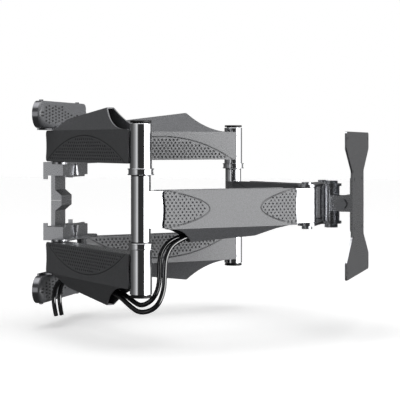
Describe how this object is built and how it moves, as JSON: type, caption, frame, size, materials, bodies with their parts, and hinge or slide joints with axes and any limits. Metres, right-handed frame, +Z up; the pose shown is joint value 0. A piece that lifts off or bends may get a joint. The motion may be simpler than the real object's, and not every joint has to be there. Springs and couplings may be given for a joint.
{
  "type": "full motion tv wall mount",
  "caption": "Full motion wall mount for a flat screen: folding arms on chrome elbow poles between a wall frame and a head that swivels, tilts and levels a screen plate.",
  "frame": {"origin": "centre of the wall slot pattern, on the wall plane, midway between the two wall rails", "axes": "+Z up, +Y into the wall, the screen side towards -Y, +X to the right when facing the wall"},
  "size_m": [0.5826, 0.4977, 0.3423],
  "materials": {
    "cover_plastic": "fine moulded texture, dark grey",
    "painted_steel": "satin powder coat, dark grey",
    "gloss_trim": "gloss black",
    "chrome_tube": "bright chrome plate",
    "zinc_hardware": "zinc plated, turned",
    "nylon": "black nylon",
    "knob_plastic": "moulded black",
    "cable_sheath": "smooth black sheath"
  },
  "bodies": {
    "wall_side": {"upper_rail": "painted_steel", "lower_rail": "painted_steel", "upper_rail_trim": "gloss_trim", "lower_rail_trim": "gloss_trim", "upper_rail_cover": "cover_plastic", "lower_rail_cover": "cover_plastic", "rail_cover_tabs": "gloss_trim", "upper_web": "painted_steel", "lower_web": "painted_steel", "upper_hinge_beam": "painted_steel", "lower_hinge_beam": "painted_steel", "shoulder_pins": "zinc_hardware", "shoulder_spacers": "zinc_hardware"},
    "left_arm": {"upper_arm_left": "painted_steel", "lower_arm_left": "painted_steel", "upper_arm_cover_left": "cover_plastic", "lower_arm_cover_left": "cover_plastic", "shoulder_bushes_left": "nylon", "upper_sleeve_left": "chrome_tube", "lower_sleeve_left": "chrome_tube", "collar_rings_left": "chrome_tube", "elbow_pole_left": "zinc_hardware", "end_caps_left": "gloss_trim", "held_cables": "cable_sheath", "cable_clips": "nylon", "cable_tail_outer": "cable_sheath", "cable_tail_inner": "cable_sheath", "cable_loop_outer": "cable_sheath", "cable_loop_inner": "cable_sheath"},
    "left_forearm": {"forearm_left": "painted_steel", "forearm_tube_left": "chrome_tube", "forearm_cover_left": "cover_plastic", "elbow_bushes_left": "nylon", "head_bushes_left": "nylon"},
    "right_arm": {"upper_arm_right": "painted_steel", "lower_arm_right": "painted_steel", "upper_arm_cover_right": "cover_plastic", "lower_arm_cover_right": "cover_plastic", "shoulder_bushes_right": "nylon", "upper_sleeve_right": "chrome_tube", "lower_sleeve_right": "chrome_tube", "collar_rings_right": "chrome_tube", "elbow_pole_right": "zinc_hardware", "end_caps_right": "gloss_trim"},
    "right_forearm": {"forearm_right": "painted_steel", "forearm_tube_right": "chrome_tube", "forearm_cover_right": "cover_plastic", "elbow_bushes_right": "nylon", "head_bushes_right": "nylon"},
    "yoke": {"head_yoke": "painted_steel", "head_pins": "zinc_hardware", "swivel_bolt": "zinc_hardware"},
    "swivel": {"swivel_block": "painted_steel"},
    "tilt": {"tilt_bracket": "painted_steel", "tilt_bolt": "zinc_hardware", "tilt_knob": "knob_plastic"},
    "screen_plate": {"vesa_plate": "painted_steel", "level_studs": "zinc_hardware"}
  },
  "joints": [
    {"name": "left_shoulder", "type": "hinge", "parent": "wall_side", "child": "left_arm", "pos_m": [-0.069, -0.033, 0], "axis": [0, 0, 1], "range_deg": [-40, 12]},
    {"name": "left_elbow", "type": "hinge", "parent": "left_arm", "child": "left_forearm", "pos_m": [-0.27261, -0.2317, 0], "axis": [0, 0, 1], "range_deg": [-24, 80], "deforming": ["cable_loop_outer", "cable_loop_inner"]},
    {"name": "left_head_pivot", "type": "hinge", "parent": "left_forearm", "child": "yoke", "pos_m": [-0.069, -0.4304, 0], "axis": [0, 0, 1], "range_deg": [-40, 12]},
    {"name": "right_shoulder", "type": "hinge", "parent": "wall_side", "child": "right_arm", "pos_m": [0.069, -0.033, 0], "axis": [0, 0, 1], "range_deg": [-12, 40]},
    {"name": "right_elbow", "type": "hinge", "parent": "right_arm", "child": "right_forearm", "pos_m": [0.27261, -0.2317, 0], "axis": [0, 0, 1], "range_deg": [-80, 24]},
    {"name": "swivel", "type": "hinge", "parent": "yoke", "child": "swivel", "pos_m": [0, -0.4554, 0], "axis": [0, 0, 1], "range_deg": [-30, 30]},
    {"name": "tilt", "type": "hinge", "parent": "swivel", "child": "tilt", "pos_m": [0, -0.4774, 0], "axis": [1, 0, 0], "range_deg": [-5, 12]},
    {"name": "level", "type": "hinge", "parent": "tilt", "child": "screen_plate", "pos_m": [0, -0.4947, 0], "axis": [0, 1, 0], "range_deg": [-3, 3]}
  ],
  "couplings": [
    {"joint": "left_elbow", "follows": "left_shoulder", "ratio": -2},
    {"joint": "left_head_pivot", "follows": "left_shoulder", "ratio": 1},
    {"joint": "right_shoulder", "follows": "left_shoulder", "ratio": -1},
    {"joint": "right_elbow", "follows": "left_shoulder", "ratio": 2}
  ]
}
